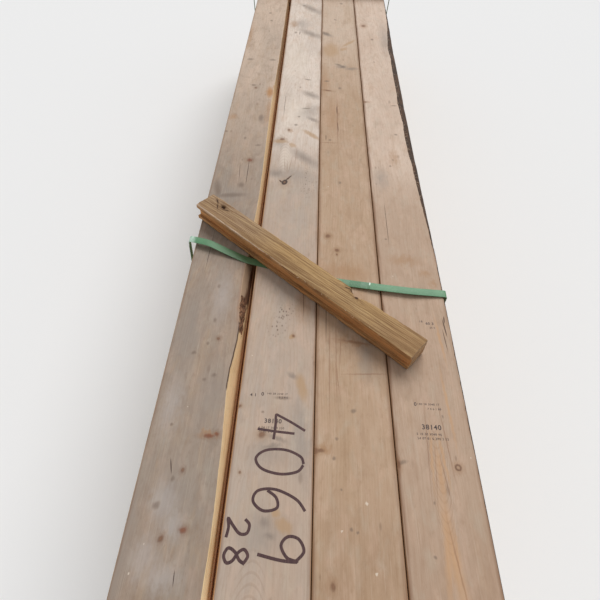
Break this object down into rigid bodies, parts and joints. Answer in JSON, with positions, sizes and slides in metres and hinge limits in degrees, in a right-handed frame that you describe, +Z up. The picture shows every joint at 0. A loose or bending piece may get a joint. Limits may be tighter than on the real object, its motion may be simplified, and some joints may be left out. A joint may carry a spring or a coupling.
{
  "type": "bundle of pine studs",
  "caption": "Rectangular half pack of long dressed pine studs laid flat in courses, held by flat plastic straps over grooved battens, one of them popped loose.",
  "frame": {"origin": "centre of the pack's footprint, on the floor under its straps", "axes": "+Y along the studs away from the loosened near strap, +Z up through the courses, +X across the pack"},
  "size_m": [0.6326, 3.06, 0.6711],
  "materials": {
    "pine": "weathered, planed",
    "batten": "rough sawn, weathered",
    "strap": "embossed polyester"
  },
  "bodies": {
    "root": {"studs_course_01": "pine", "studs_course_02": "pine", "studs_course_03": "pine", "studs_course_04": "pine", "studs_course_05": "pine", "studs_course_06": "pine", "studs_course_07": "pine", "studs_course_08": "pine", "studs_course_09": "pine", "studs_course_10": "pine", "studs_course_11": "pine", "studs_course_12": "pine", "studs_course_13": "pine", "studs_course_14": "pine", "studs_course_15": "pine", "stud_top_1": "pine", "stud_top_2": "pine", "stud_top_3": "pine", "stud_top_4": "pine", "batten_loose": "batten", "batten_seated": "batten", "strap_near": "strap", "strap_far": "strap"}
  },
  "joints": []
}
